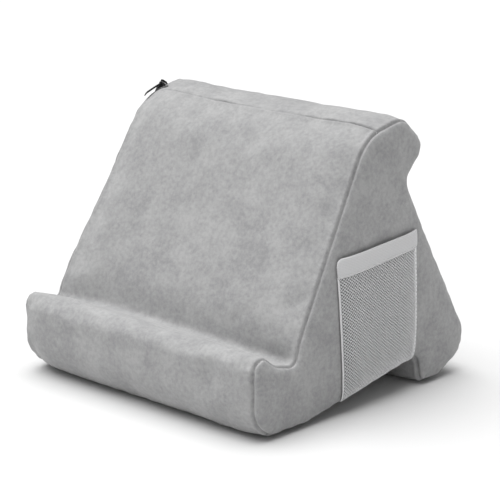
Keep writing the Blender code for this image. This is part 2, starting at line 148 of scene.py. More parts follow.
# Zip: its closed slider's middle on the left end, and its own frame: up the zip, across it and out
ZIP_SLOPE = math.radians(58)
ZIP_UP = Vector(
    (math.tan(END_LEAN) * math.sin(ZIP_SLOPE), math.cos(ZIP_SLOPE), math.sin(ZIP_SLOPE))
).normalized()
ZIP_OUT = ZIP_UP.cross(Vector((0, 1, 0))).normalized()
ZIP_ACROSS = ZIP_OUT.cross(ZIP_UP)
ZIP_MIDDLE = Vector((-142.73, 132.35, 235.4)) * MM
ZIP_FRAME = Matrix.Translation(ZIP_MIDDLE) @ Matrix((ZIP_UP, ZIP_ACROSS, ZIP_OUT)).transposed().to_4x4()
ZIP_LOW = -184.5 * MM  # the tapes' ends, along the zip
ZIP_HIGH = 7.6 * MM
ZIP_TAIL = Vector((-141, 117, 237)) * MM  # middle of the tapes' end, turned forward under the top seam
TAIL_REACH = 18 * MM
TAIL_BED = 0.5 * MM  # the plush is pressed in this much under it
ZIP_BED = 1.5 * MM  # and this much under the tapes
ZIP_BED_HALF = 7.5 * MM
ZIP_BED_SIDE = 4 * MM  # width of the bed's sloping side
COIL_TOP = 5.4 * MM
COIL_SPREAD = 1.7 * MM  # each row's distance from the zip's middle line
COIL_TURN = (1.25 * MM, 0.9 * MM)  # half size of one turn, across and out
WELT_AT = 7.0 * MM
WELT_HALF = 1.9 * MM
WELT_RISE = 0.9 * MM
# The slider and its pull as blocks in the zip's frame, in mm: low corner, high corner, edge
SLIDER_BLOCKS = (
    ((-5.5, -4.0, 2.2), (5.5, 4.0, 2.95), 0.3),  # upper plate
    ((-5.5, -4.0, 0.1), (5.5, -3.25, 2.7), 0.25),  # its two flanges
    ((-5.5, 3.25, 0.1), (5.5, 4.0, 2.7), 0.25),
    ((2.5, -0.4, -1.7), (5.5, 0.4, 2.6), 0.15),  # the wedge that parts the rows
    ((-5.5, -3.25, -2.05), (5.5, 3.25, -1.3), 0.25),  # lower plate
    ((-4.5, -0.5, 2.6), (-3.5, 0.5, 5.85), 0.25),  # the bail's two posts
    ((3.5, -0.5, 2.6), (4.5, 0.5, 5.85), 0.25),
    ((-4.5, -0.5, 4.85), (4.5, 0.5, 5.85), 0.3),  # bail
)
PULL_BLOCKS = (
    ((-24, -3.5, 3.25), (-6, 3.5, 4.25), 0.35),  # tab
    ((-7.9, -3.5, 3.25), (0.5, -1.6, 4.25), 0.3),  # its two arms
    ((-7.9, 1.6, 3.25), (0.5, 3.5, 4.25), 0.3),
    ((-0.5, -3.5, 3.25), (0.5, 3.5, 4.25), 0.3),  # the bar that turns in the bail
)

# Stage: the suns with strength, spread in degrees and where they shine from, the sky and the camera
SUNS = (
    ("overhead", 3.65, 70, (-0.2, -0.06, 0.97)),
    ("front", 0.2, 60, (-0.45, -0.75, 0.48)),
)
SKY_STRENGTH = 0.31
CAMERA_PLACE = Vector((1.342816, -1.307607, 0.652840))
CAMERA_AIM = Vector((0.039984, 0.060898, 0.126830))
CAMERA_LENS = 160.4

# A column of the cover's net: its share of a corner's arc, or of the straight to the corner ahead
Column = namedtuple("Column", "corner ahead share")

# Where the soft body has settled or is drawn out of its cut shape, in mm: centre, reach and move
SETTLED = (
    ((-146, 22, 80), (38, 55, 72), (-1.5, -8.5, 0)),  # the leaning face's foot, at the left end
    ((-150, -45, 40), (30, 38, 48), (7.5, 0, 0)),  # the lip's left end
    ((-150, -50, 0), (34, 30, 22), (4, 3, 3)),
    ((-35, 145, 250), (120, 65, 40), (0, 0, -4.5)),  # the top sags between its ends
    ((-142, 100, 240), (30, 45, 40), (0, 3, -1)),
    ((112, -10, 66), (42, 16, 14), (0, 1, -4.5)),  # the groove is pulled in beside the lip's right end
    ((-118, -10, 66), (30, 16, 14), (0, 1, -3)),
    ((138, -40, 82), (22, 14, 12), (0, 0, 1.5)),
    ((-136, -38, 82), (14, 12, 12), (0, 0, 2.5)),
    ((98, -50, 50), (10, 14, 9), (0, 2.4, 0)),  # a dent in the lip's front
    ((50, 4, 62), (150, 9, 10), (0, 2, -5)),  # the groove is pressed in along the stand
    ((45, -17, 74), (170, 13, 14), (0, 0, -5)),  # and so is the lip's back
    ((60, -38, 86), (150, 9, 8), (0, 2, 1.5)),
)
# Small folds of the plush, in mm: from, to, width and height
FOLDS = (
    ((143, -33, 70.5), (142, -4, 58.5), 2.2, 2.4),  # the turned corner at the lip's right end
    ((145, -30, 64), (144, -10, 54), 2.2, -1.6),
    ((134, 5, 61), (92, 4, 60.5), 4.5, -3.0),  # the groove beside it
    ((135, 9, 69), (108, 8, 71.5), 3.0, 1.5),  # wrinkles up the leaning face
    ((135, 12, 77), (114, 13, 84), 3.0, 1.3),
    ((137, 17, 86), (120, 19, 94), 3.0, 1.0),
    ((141, -45.5, 63), (125, -47.5, 60), 2.6, 1.5),  # wrinkles across the lip's front
    ((139, -46.5, 51), (122, -48, 45), 2.6, 1.4),
    ((138, -47, 38), (121, -48.6, 32), 2.6, 1.3),
    ((139, -46.7, 25), (124, -48, 20), 2.6, 1.2),
    ((147, 150, 33), (142, 167, 9), 2.4, 1.2),  # the rolled edge beside the foot
    ((-140, -20, 70), (-146, -44, 72), 2.6, 1.6),
    ((-141, 4, 62), (-126, 6, 64), 2.6, 1.2),
)


class StandSizes(bpy.types.PropertyGroup):
    cell: FloatProperty(
        name="Cloth cell",
        description="Side of one cell of the cover's net",
        default=5.2 * MM,
        unit="LENGTH",
    )
    swell: FloatProperty(
        name="Swell",
        description="Most that the filling may press the cover out",
        default=2.6 * MM,
        unit="LENGTH",
    )
    seam_depth: FloatProperty(
        name="Seam depth",
        description="How deep the seams lie in the plush",
        default=2.6 * MM,
        unit="LENGTH",
    )
    seam_roll: FloatProperty(
        name="Rolled edge",
        description="Rise of the cloth beside a seam",
        default=1.0 * MM,
        unit="LENGTH",
    )
    pucker: FloatProperty(
        name="Pucker",
        description="Height of the small gathers at the seams",
        default=1.5 * MM,
        unit="LENGTH",
    )
    net_pitch: FloatProperty(
        name="Net pitch",
        description="Width of one opening of the pocket's net",
        default=3.4 * MM,
        unit="LENGTH",
    )
    net_cord: FloatProperty(
        name="Net yarn",
        description="Thickness of the net's yarn",
        default=1.15 * MM,
        unit="LENGTH",
    )
    hem: FloatProperty(
        name="Hem",
        description="Width of the pocket's rear hem",
        default=5 * MM,
        unit="LENGTH",
    )
    band: FloatProperty(
        name="Band",
        description="Height of the elastic along the pocket's mouth",
        default=17 * MM,
        unit="LENGTH",
    )
    stitch: FloatProperty(
        name="Stitch",
        description="Length of one stitch",
        default=2.6 * MM,
        unit="LENGTH",
    )
    coil_pitch: FloatProperty(
        name="Coil pitch",
        description="Distance from one turn of the zip's coil to the next",
        default=1.5 * MM,
        unit="LENGTH",
    )


class StandColours(bpy.types.PropertyGroup):
    plush: StringProperty(name="Plush", description="Colour of the plush, as sRGB hex", default="#ACACAC")
    # The second plush colour is painted sheen shade: the plush where its nap leans away from the light.
    plush_sheen_shade: StringProperty(
        name="Plush sheen shade", description="Colour where the nap lies the other way", default="#949495"
    )
    net: StringProperty(name="Net", description="Colour of the pocket's net", default="#F0F0F1")
    elastic: StringProperty(
        name="Elastic", description="Colour of the pocket's elastic band", default="#DADADB"
    )
    zip: StringProperty(name="Zip", description="Colour of the zip's tapes and coil", default="#141415")
    enamel: StringProperty(name="Enamel", description="Colour of the slider and pull", default="#0E0E0F")
    foam: StringProperty(name="Foam", description="Colour of the foam core", default="#E6E2CF")
    floor: StringProperty(name="Floor", description="Colour of the floor", default="#DEDEDE")


def srgb(code):
    """An sRGB hex value as a linear colour with full alpha."""
    parts = [int(code[k : k + 2], 16) / 255 for k in (1, 3, 5)]
    linear = [c / 12.92 if c <= 0.04045 else ((c + 0.055) / 1.055) ** 2.4 for c in parts]
    return (*linear, 1.0)


def add_node(tree, kind, settings=None, values=None, links=None):
    """Adds a node, sets its properties and sockets, and links its inputs."""
    node = tree.nodes.new(kind)
    for name, value in (settings or {}).items():
        setattr(node, name, value)
    for name, value in (values or {}).items():
        node.inputs[name].default_value = value
    for name, (source, output) in (links or {}).items():
        tree.links.new(source.outputs[output], node.inputs[name])
    return node


def new_material(name, **sockets):
    """An empty material with one Principled shader, whose sockets are given by name."""
    made = bpy.data.materials.new(name)
    made.use_nodes = True
    tree = made.node_tree
    shader = tree.nodes["Principled BSDF"]
    for socket, value in sockets.items():
        shader.inputs[socket.replace("_", " ")].default_value = value
    return made, tree, shader


def velvet_plush(colours):
    """Crystal velvet, knitted polyester with a short cut pile: matt, with a pale bloom at grazing angles."""
    made, tree, shader = new_material(
        "crystal_velvet",
        Roughness=0.88,
        Sheen_Weight=0.35,
        Sheen_Roughness=0.45,
        Specular_IOR_Level=0.15,
    )
    place = add_node(tree, "ShaderNodeTexCoord")
    # The pile lies in clouds of 15 to 40 mm, and its sheen is painted into the colour: painted shade where
    # the nap leans away, the plain colour where it faces the light.
    clouds = add_node(
        tree,
        "ShaderNodeTexNoise",
        values={"Scale": 34.0, "Detail": 5.0, "Roughness": 0.62, "Distortion": 0.4},
        links={"Vector": (place, "Object")},
    )
    # Finer ruffles of 3 to 5 mm break the clouds up.
    ruffles = add_node(
        tree,
        "ShaderNodeTexNoise",
        values={"Scale": 260.0, "Detail": 3.0, "Roughness": 0.7},
        links={"Vector": (place, "Object")},
    )
    both = add_node(
        tree,
        "ShaderNodeMix",
        settings={"data_type": "FLOAT"},
        values={"Factor": 0.5},
        links={"A": (clouds, "Fac"), "B": (ruffles, "Fac")},
    )
    ramp = add_node(tree, "ShaderNodeValToRGB", links={"Fac": (both, "Result")})
    ramp.color_ramp.elements[0].position = 0.38
    ramp.color_ramp.elements[0].color = srgb(colours.plush_sheen_shade)
    ramp.color_ramp.elements[1].position = 0.62
    ramp.color_ramp.elements[1].color = srgb(colours.plush)
    tree.links.new(ramp.outputs["Color"], shader.inputs["Base Color"])
    # The pile's tips are 0.3 mm apart and are drawn at 1 mm, the finest that shows.
    pile = add_node(
        tree,
        "ShaderNodeTexNoise",
        values={"Scale": 1000.0, "Detail": 2.0, "Roughness": 0.7},
        links={"Vector": (place, "Object")},
    )
    height = add_node(
        tree,
        "ShaderNodeMix",
        settings={"data_type": "FLOAT"},
        values={"Factor": 0.6},
        links={"A": (pile, "Fac"), "B": (ruffles, "Fac")},
    )
    bump = add_node(
        tree,
        "ShaderNodeBump",
        values={"Strength": 0.35, "Distance": 0.5 * MM},
        links={"Height": (height, "Result")},
    )
    tree.links.new(bump.outputs["Normal"], shader.inputs["Normal"])
    return made


def knitted_yarn(name, code, pitch, roughness=0.75):
    """Textured polyester yarn: matt, with fine ribs along its threads."""
    made, tree, shader = new_material(
        name, Roughness=roughness, Sheen_Weight=0.2, Sheen_Roughness=0.5, Specular_IOR_Level=0.25
    )
    place = add_node(tree, "ShaderNodeTexCoord")
    threads = add_node(
        tree,
        "ShaderNodeTexWave",
        settings={"wave_type": "BANDS", "bands_direction": "Z"},
        values={"Scale": 0.314 / pitch, "Distortion": 1.5, "Detail": 2.0, "Detail Scale": 2.0},
        links={"Vector": (place, "Object")},
    )
    fuzz = add_node(
        tree,
        "ShaderNodeTexNoise",
        values={"Scale": 900.0, "Detail": 2.0},
        links={"Vector": (place, "Object")},
    )
    shade = add_node(
        tree,
        "ShaderNodeMix",
        settings={"data_type": "FLOAT"},
        values={"Factor": 0.5},
        links={"A": (threads, "Fac"), "B": (fuzz, "Fac")},
    )
    # Darker where the ribs' height is low: painted shade in the hollows between the threads.
    ramp = add_node(tree, "ShaderNodeValToRGB", links={"Fac": (shade, "Result")})
    pale = srgb(code)
    ramp.color_ramp.elements[0].color = (*[c * 0.8 for c in pale[:3]], 1.0)
    ramp.color_ramp.elements[1].color = pale
    tree.links.new(ramp.outputs["Color"], shader.inputs["Base Color"])
    bump = add_node(
        tree,
        "ShaderNodeBump",
        values={"Strength": 0.5, "Distance": 0.25 * MM},
        links={"Height": (shade, "Result")},
    )
    tree.links.new(bump.outputs["Normal"], shader.inputs["Normal"])
    return made


def enamelled_zinc(code):
    """Die-cast zinc under black stove enamel: smooth and glossy, with faint orange peel."""
    made, tree, shader = new_material(
        "enamelled_zinc", Roughness=0.28, Coat_Weight=0.5, Coat_Roughness=0.12
    )
    shader.inputs["Base Color"].default_value = srgb(code)
    place = add_node(tree, "ShaderNodeTexCoord")
    peel = add_node(
        tree,
        "ShaderNodeTexNoise",
        values={"Scale": 700.0, "Detail": 1.0},
        links={"Vector": (place, "Object")},
    )
    wear = add_node(
        tree,
        "ShaderNodeMapRange",
        values={"From Min": 0.3, "From Max": 0.7, "To Min": 0.24, "To Max": 0.38},
        links={"Value": (peel, "Fac")},
    )
    tree.links.new(wear.outputs["Result"], shader.inputs["Roughness"])
    bump = add_node(
        tree,
        "ShaderNodeBump",
        values={"Strength": 0.08, "Distance": 0.1 * MM},
        links={"Height": (peel, "Fac")},
    )
    tree.links.new(bump.outputs["Normal"], shader.inputs["Normal"])
    return made


def open_foam(code):
    """Open-cell polyurethane foam, cut by hot wire: matt and pale, pitted with cells of about 1 mm."""
    made, tree, shader = new_material("polyurethane_foam", Roughness=0.95, Specular_IOR_Level=0.2)
    place = add_node(tree, "ShaderNodeTexCoord")
    cells = add_node(
        tree,
        "ShaderNodeTexVoronoi",
        values={"Scale": 900.0},
        links={"Vector": (place, "Object")},
    )
    # Darker towards each cell's middle, where the bump makes its pit: painted shade in the pits.
    ramp = add_node(tree, "ShaderNodeValToRGB", links={"Fac": (cells, "Distance")})
    pale = srgb(code)
    ramp.color_ramp.elements[0].color = (*[c * 0.7 for c in pale[:3]], 1.0)
    ramp.color_ramp.elements[1].color = pale
    tree.links.new(ramp.outputs["Color"], shader.inputs["Base Color"])
    bump = add_node(
        tree,
        "ShaderNodeBump",
        values={"Strength": 0.6, "Distance": 0.5 * MM},
        links={"Height": (cells, "Distance")},
    )
    tree.links.new(bump.outputs["Normal"], shader.inputs["Normal"])
    return made


def corner_arcs(inset):
    """Each corner's arc of the outline moved inwards: its centre, the spoke to its start, and its turn."""
    points = {name: Vector((y, z)) * MM for name, (y, z, _) in CORNERS.items()}
    names = list(points)
    arcs = {}
    for i, name in enumerate(names):
        here = points[name]
        before = (here - points[names[i - 1]]).normalized()
        after = (points[names[(i + 1) % len(names)]] - here).normalized()
        turn = -before.angle_signed(after)
        inward = Vector((-before.y, before.x))
        moved = here + inset * (inward - before * math.tan(turn / 2))
        side = math.copysign(1, turn)
        radius = max(CORNERS[name][2] * MM - side * inset, LEAST_RADIUS)
        start = moved - before * radius * math.tan(abs(turn) / 2)
        centre = start + inward * side * radius
        arcs[name] = (centre, start - centre, turn)
    return arcs


def arc_point(arc, share):
    """The point at this share of a corner's arc."""
    centre, spoke, turn = arc
    return centre + Matrix.Rotation(turn * share, 2) @ spoke


def plan_columns(cell):
    """Where the cover's net has points along the outline: closer together beside the panel seams."""
    arcs = corner_arcs(0)
    names = list(arcs)
    columns = []
    for i, name in enumerate(names):
        arc = arcs[name]
        length = arc[1].length * abs(arc[2])
        here = cell * LIP_CELLS.get(name, 1.0)
        steps = max(3, math.ceil(length / here), math.ceil(abs(arc[2]) / COLUMN_TURN))
        shares = [k / steps for k in range(steps + 1)]
        if name in PANEL_SEAMS:
            seam = PANEL_SEAMS[name]
            shares = [s for s in shares if abs(s - seam) * length > SEAM_CLEAR]
            shares += [seam] + [seam + side * d / length for d in SEAM_STEPS for side in (-1, 1)]
        columns += [Column(name, None, s) for s in sorted(shares)]
        ahead = names[(i + 1) % len(names)]
        span = (arc_point(arcs[ahead], 0) - arc_point(arc, 1)).length
        steps = max(1, round(span / here))
        columns += [Column(name, ahead, k / steps) for k in range(1, steps)]
    return columns


def outline(columns, inset):
    """The points of the outline, moved inwards, at these columns."""
    arcs = corner_arcs(inset)
    points = []
    for column in columns:
        arc = arcs[column.corner]
        if column.ahead is None:
            points.append(arc_point(arc, column.share))
        else:
            points.append(arc_point(arc, 1).lerp(arc_point(arcs[column.ahead], 0), column.share))
    return points


def leaning(point):
    """The point moved towards the middle with its height, as the ends lean in."""
    share = min(abs(point.x) / SEAM_X, 1.0)
    inwards = math.copysign(share * point.z * math.tan(END_LEAN), -point.x)
    return point + Vector((inwards, 0, 0))


def settled(point):
    """The point where the soft body has settled."""
    moved = point.copy()
    for centre, reach, move in SETTLED:
        far = sum(((p / MM - c) / r) ** 2 for p, c, r in zip(point, centre, reach))
        moved += Vector(move) * MM * math.exp(-far)
    moved.z = max(moved.z, 0.0)
    return moved


def fold_rise(point):
    """Rise of the cloth at its small folds."""
    rise = 0.0
    for start, end, width, height in FOLDS:
        start, along = Vector(start) * MM, (Vector(end) - Vector(start)) * MM
        share = min(max((point - start).dot(along) / along.length_squared, 0.0), 1.0)
        far = (point - start - along * share).length / (width * MM)
        if far < 3:
            rise += height * MM * math.exp(-far * far) * (1 - 0.6 * share)
    return rise


def tuck(x):
    """How far the outline lies inside the mid-width one at this distance from the middle."""
    return END_TUCK * max(0.0, 1 - (SEAM_X - abs(x)) / TUCK_LENGTH) ** 2


def panel_gaps(columns):
    """Each column's distance along the outline from the nearest panel seam, and from the first column."""
    points = outline(columns, 0)
    runs = [0.0]
    for a, b in zip(points, points[1:]):
        runs.append(runs[-1] + (b - a).length)
    around = runs[-1] + (points[0] - points[-1]).length
    seams = [
        run
        for run, column in zip(runs, columns)
        if column.ahead is None and column.share == PANEL_SEAMS.get(column.corner)
    ]
    gaps = []
    for run in runs:
        apart = [(run - seam + around / 2) % around - around / 2 for seam in seams]
        gaps.append(min(apart, key=abs))
    return gaps, runs


def cover_rows(cell):
    """The rings of the cover's net from the right end to the left: x, inset and distance from the seam."""
    ends = []
    gap = 0.0
    before = (0.0, 0.0)
    for angle in CROWN_ANGLES:
        turn = math.radians(angle)
        here = (CROWN_WIDTH * (1 - math.cos(turn)), END_CROWN * math.sin(turn))
        gap += math.hypot(here[0] - before[0], here[1] - before[1])
        ends.append((SEAM_X + here[1], END_TUCK + here[0], -gap))
        before = here
    inner = SEAM_X - END_STEPS[-1]
    steps = math.ceil(2 * inner / (cell * 1.1))
    across = [inner - 2 * inner * k / steps for k in range(steps + 1)]
    near = [SEAM_X - d for d in (0, *END_STEPS[:-1])]
    wrap = near + across + [-x for x in reversed(near)]
    rows = [*reversed(ends), *((x, tuck(x), SEAM_X - abs(x)) for x in wrap)]
    return rows + [(-x, inset, gap) for x, inset, gap in ends]


def in_order(parts):
    """A mesh's parts once each, in the order they come in: a set's order would change from run to run."""
    return list(dict.fromkeys(parts))


def polygon_depth(point, ring):
    """Distance of a point from a ring of points, positive inside it."""
    nearest, inside = math.inf, False
    for a, b in zip(ring, ring[1:] + ring[:1]):
        along = b - a
        share = min(max((point - a).dot(along) / max(along.length_squared, 1e-12), 0.0), 1.0)
        nearest = min(nearest, (point - a - along * share).length)
        if (a.y > point.y) != (b.y > point.y):
            if point.x < a.x + (point.y - a.y) * along.x / along.y:
                inside = not inside
    return nearest if inside else -nearest


def fill_end(bm, side, cell):
    """Fills the open ring of one end with an even net, so that the cloth can swell there."""
    rim = [e for e in bm.edges if e.is_boundary and e.verts[0].co.x * side > 0]
    start = rim[0]
    loop, edge, vert = [], start, start.verts[0]
    while True:
        loop.append(vert)
        vert = edge.other_vert(vert)
        edge = next(e for e in vert.link_edges if e.is_boundary and e is not edge)
        if edge is start:
            break
    ring = [Vector((v.co.y, v.co.z)) for v in loop]
    x = rim[0].verts[0].co.x
    low = Vector((min(p.x for p in ring), min(p.y for p in ring)))
    high = Vector((max(p.x for p in ring), max(p.y for p in ring)))
    size = high - low
    place = Matrix.Translation((x, (low.x + high.x) / 2, (low.y + high.y) / 2))
    turn = Matrix(((0, 0, 1), (1, 0, 0), (0, 1, 0))).to_4x4()
    made = bmesh.ops.create_grid(
        bm,
        x_segments=round(size.x / cell),
        y_segments=round(size.y / cell),
        size=0.5,
        matrix=place @ turn @ Matrix.Diagonal((size.x, size.y, 1, 1)),
    )["verts"]
    out = [v for v in made if polygon_depth(Vector((v.co.y, v.co.z)), ring) < 0.55 * cell]
    bmesh.ops.delete(bm, geom=out, context="VERTS")
    made = [v for v in made if v.is_valid]
    bmesh.ops.delete(bm, geom=[v for v in made if not v.link_faces], context="VERTS")
    made = [v for v in made if v.is_valid]
    wires = in_order(e for v in made for e in v.link_edges if not e.link_faces)
    bmesh.ops.delete(bm, geom=wires, context="EDGES")
    inner = in_order(e for v in made for e in v.link_edges if e.is_boundary)
    bmesh.ops.triangle_fill(bm, use_beauty=True, edges=[*rim, *inner])


def build_cover(sizes):
    """The cover before it is filled: its net, with each point's place beside the seams in its layers."""
    columns = plan_columns(sizes.cell)
    gaps, runs = panel_gaps(columns)
    rows = cover_rows(sizes.cell)
    bm = bmesh.new()
    layers = {name: bm.verts.layers.float.new(name) for name in ("end_gap", "panel_gap", "run")}
    made = bmesh.ops.create_grid(bm, x_segments=len(columns), y_segments=len(rows) - 1, size=1.0)["verts"]
    at = iter(made)
    for x, inset, end_gap in rows:
        ring = outline(columns, inset)
        for k in [*range(len(columns)), 0]:
            vert = next(at)
            vert.co = (x, ring[k].x, ring[k].y)
            vert[layers["end_gap"]] = end_gap
            vert[layers["panel_gap"]] = gaps[k]
            vert[layers["run"]] = runs[k]
    bmesh.ops.remove_doubles(bm, verts=bm.verts, dist=1e-6)
    for side in (-1, 1):
        rim = in_order(v for e in bm.edges if e.is_boundary for v in e.verts if v.co.x * side > 0)
        bmesh.ops.remove_doubles(bm, verts=rim, dist=1.5 * MM)
    before = set(bm.verts)
    for side in (-1, 1):
        fill_end(bm, side, sizes.cell * 1.15)
    for vert in set(bm.verts) - before:
        vert[layers["end_gap"]] = -FAR
        vert[layers["panel_gap"]] = FAR
    for vert in bm.verts:
        vert.co = settled(leaning(vert.co))
    bmesh.ops.recalc_face_normals(bm, faces=bm.faces)
    return bm


def hold_weight(vert, layers):
    """How firmly a point is held while the cover is filled: 1 at seams, grooves, floor and the tapes' end."""
    end = abs(vert[layers["end_gap"]])
    panel = abs(vert[layers["panel_gap"]]) if vert[layers["end_gap"]] > 0 else FAR
    weight = max(0.0, 1 - min(end, panel) / (3 * MM))
    y, z = vert.co.y, vert.co.z
    for name in ("groove", "rear_groove", "foot_groove"):
        corner = Vector(CORNERS[name][:2]) * MM
        weight = max(weight, 1 - ((Vector((y, z)) - corner).length - 8 * MM) / (10 * MM))
    if z < 1 * MM or (vert.co - ZIP_TAIL).length < TAIL_REACH:
        weight = 1.0
    return min(max(weight, 0.0), 1.0)


def fill_cover(cover, most):
    """Presses the cover out as its filling does: cloth held at its seams, moved no further than most."""
    mesh = cover.data
    bm = bmesh.new()
    bm.from_mesh(mesh)
    layers = {name: bm.verts.layers.float[name] for name in ("end_gap", "panel_gap")}
    held = cover.vertex_groups.new(name="held")
    for vert in bm.verts:
        held.add([vert.index], hold_weight(vert, layers), "REPLACE")
    on_end = [vert[layers["end_gap"]] < 0 for vert in bm.verts]
    bm.free()
    cloth = cover.modifiers.new("filling", "CLOTH")
    for name, value in PLUSH_CLOTH.items():
        setattr(cloth.settings, name, value)
    cloth.settings.vertex_group_mass = held.name
    cloth.settings.effector_weights.gravity = 0
    cloth.collision_settings.use_collision = False
    cloth.point_cache.frame_end = FILL_FRAMES
    scene = bpy.context.scene
    for number in range(1, FILL_FRAMES + 1):
        scene.frame_set(number)
    filled = cover.evaluated_get(bpy.context.evaluated_depsgraph_get()).data
    places = [v.co.copy() for v in filled.vertices]
    cover.modifiers.remove(cloth)
    cover.vertex_groups.remove(held)
    scene.frame_set(1)
    for vert, place, is_end in zip(mesh.vertices, places, on_end):
        step = place - vert.co
        if step.length > 0:
            step *= most * math.tanh(step.length / most) / step.length
        if is_end:
            step.x *= END_SWELL
        vert.co += step


def beside_seam(gap, depth, roll):
    """Rise of the cloth beside a seam: a narrow valley, then a rolled edge."""
    valley = -depth * math.exp(-((gap / VALLEY) ** 2))
    return valley + roll * math.exp(-(((abs(gap) - ROLL_AT) / ROLL_WIDTH) ** 2))


def gape(point):
    """How much further than the other seams the top's front seam is drawn open."""
    # Of the panels' seams, only that one lies in this part of the cover.
    if point.z < 200 * MM or point.y > 140 * MM:
        return 0.0
    x = point.x / MM
    return sum(more * math.exp(-(((x - at) / reach) ** 2)) for at, reach, more in TOP_GAPES) - TOP_EASE


def gather_share(gap, reach):
    """How much of their height the gathers have at this distance from a seam: none in the seam itself."""
    return math.exp(-abs(gap) / reach) * min(1, abs(gap) / GATHER_START)


def sewn_rise(vert, layers, sizes):
    """Rise of the cloth at its seams, gathers and folds, over foam that is a little uneven."""
    end, panel, run = (vert[layers[name]] for name in ("end_gap", "panel_gap", "run"))
    # The noise's last two values keep each side's gathers different.
    side = math.copysign(1, vert.co.x)
    rise = 0.0
    if end > -END_SEAM_REACH:
        on_end = end < 0
        rise += beside_seam(end, sizes.seam_depth, sizes.seam_roll * (0.3 if on_end else 1.2))
        gather = noise.noise(Vector((run / END_GATHER, side * 7, 3 if on_end else 0)))
        gather += 0.7 * noise.noise(Vector((run / FINE_GATHER, side * 7, 5)))
        rise += sizes.pucker * gather * gather_share(end, END_GATHER_REACH)
    if end > 0 and abs(panel) < PANEL_SEAM_REACH:
        share = 1.0 if panel > 0 else 0.25
        pull = 1 + gape(vert.co)
        rise += beside_seam(panel, sizes.seam_depth * pull, sizes.seam_roll * share * pull)
        gather = noise.noise(Vector((vert.co.x / PANEL_GATHER, panel / (30 * MM), run)))
        rise += 0.6 * sizes.pucker * gather * gather_share(panel, PANEL_GATHER_REACH)
    rise += UNEVEN * noise.noise(vert.co * 28) + fold_rise(vert.co)
    if (vert.co - ZIP_TAIL).length < TAIL_REACH:
        rise = min(rise, 0.0) - TAIL_BED
    return rise


def bed_zip(vert, layers):
    """Presses the left end's cloth in under the zip."""
    along = (vert.co - ZIP_MIDDLE).dot(ZIP_UP)
    across = abs((vert.co - ZIP_MIDDLE).dot(ZIP_ACROSS))
    if vert.co.x < 0 and vert[layers["end_gap"]] < 0 and along > ZIP_LOW - 4 * MM:
        sunk = ZIP_MIDDLE.x - (ZIP_MIDDLE.z - vert.co.z) * math.tan(END_LEAN) + ZIP_BED
        blend = min(max((across - ZIP_BED_HALF) / ZIP_BED_SIDE, 0.0), 1.0)
        vert.co.x = max(vert.co.x, sunk + blend * (vert.co.x - sunk))


def sew_cover(cover, sizes):
    """Draws the plush in at its seams, with rolled edges and small gathers, and flattens what rests."""
    bm = bmesh.new()
    bm.from_mesh(cover.data)
    bm.normal_update()
    layers = {name: bm.verts.layers.float[name] for name in ("end_gap", "panel_gap", "run")}
    moves = [vert.normal * sewn_rise(vert, layers, sizes) for vert in bm.verts]
    for vert, move in zip(bm.verts, moves):
        vert.co += move
        bed_zip(vert, layers)
        vert.co.z = max(vert.co.z, 0.0)
    bm.to_mesh(cover.data)
    bm.free()


def link(name, bm, material, body="cover"):
    """A finished piece from a bmesh: shaded smooth, with its material, riding on its body."""
    mesh = bpy.data.meshes.new(name)
    bm.to_mesh(mesh)
    bm.free()
    mesh.shade_smooth()
    mesh.materials.append(material)
    made = bpy.data.objects.new(name, mesh)
    bpy.context.scene.collection.objects.link(made)
    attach(made, body)
    return made


def smooth_out(made, levels):
    """Subdivides a piece, in the view as in the render."""
    finer = made.modifiers.new("finer", "SUBSURF")
    finer.levels = levels
    finer.render_levels = levels


class STAND_OT_cover(bpy.types.Operator):
    """Sews and fills the plush cover"""

    bl_idname = "stand.cover"
    bl_label = "Plush cover"

    def execute(self, context):
        sizes, colours = context.scene.stand_sizes, context.scene.stand_colours
        bm = build_cover(sizes)
        open_edges = sum(1 for e in bm.edges if not e.is_manifold)
        if open_edges:
            raise RuntimeError(f"the cover has {open_edges} open edges")
        core = bm.copy()
        core.normal_update()
        for vert in core.verts:
            vert.co -= vert.normal * CORE_INSET
        block = link("foam_block", core, open_foam(colours.foam))
        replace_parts(block, "foam_core")
        cover = link("plush_cover", bm, velvet_plush(colours))
        fill_cover(cover, sizes.swell)
        sew_cover(cover, sizes)
        smooth_out(cover, 1)
        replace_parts(cover, "front_panel", "base_panel", "back_panel", "left_gusset", "right_gusset")
        return {"FINISHED"}


def end_surface(side):
    """A function that gives the cover's outermost x at a place of one end."""
    cover = bpy.data.objects["plush_cover"]
    graph = bpy.context.evaluated_depsgraph_get()
    tree = BVHTree.FromObject(cover, graph)

    def surface(y, z):
        hit = tree.ray_cast(Vector((side * RAY_START, y, z)), Vector((-side, 0, 0)))[0]
        return side * hit.x if hit and hit.x * side > END_FACE else SEAM_X

    return surface


def pocket_place(surface, u, v, lift):
    """A point of the pocket: u 0..1 front to rear, v 0..1 up from its foot, lift over its inner face."""
    low = POCKET_FRONT_FOOT.lerp(POCKET_REAR_FOOT, u)
    high = POCKET_FRONT_TOP.lerp(POCKET_REAR_TOP, u)
    at = low.lerp(high, v)
    side_rise = 1 - abs(2 * u - 1) ** 6
    foot_rise = 1 - (1 - v) ** 4
    away = POCKET_STANDOFF * side_rise * foot_rise * (1 - MOUTH_DRAW * v * v)
    return Vector((surface(at.x, at.y) + 0.4 * MM + away + lift, at.x, at.y))


def pocket_line(surface, start, end, steps, lift):
    """Points on the pocket along the line between two of its (u, v) places."""
    line = []
    for k in range(steps + 1):
        u, v = (a + (b - a) * k / steps for a, b in zip(start, end))
        line.append(pocket_place(surface, u, v, lift))
    return line


def unit_grid(bm, columns, rows):
    """A grid over the unit square, to be laid on the pocket."""
    half = Matrix.Translation((0.5, 0.5, 0))
    return bmesh.ops.create_grid(bm, x_segments=columns, y_segments=rows, size=0.5, matrix=half)["verts"]


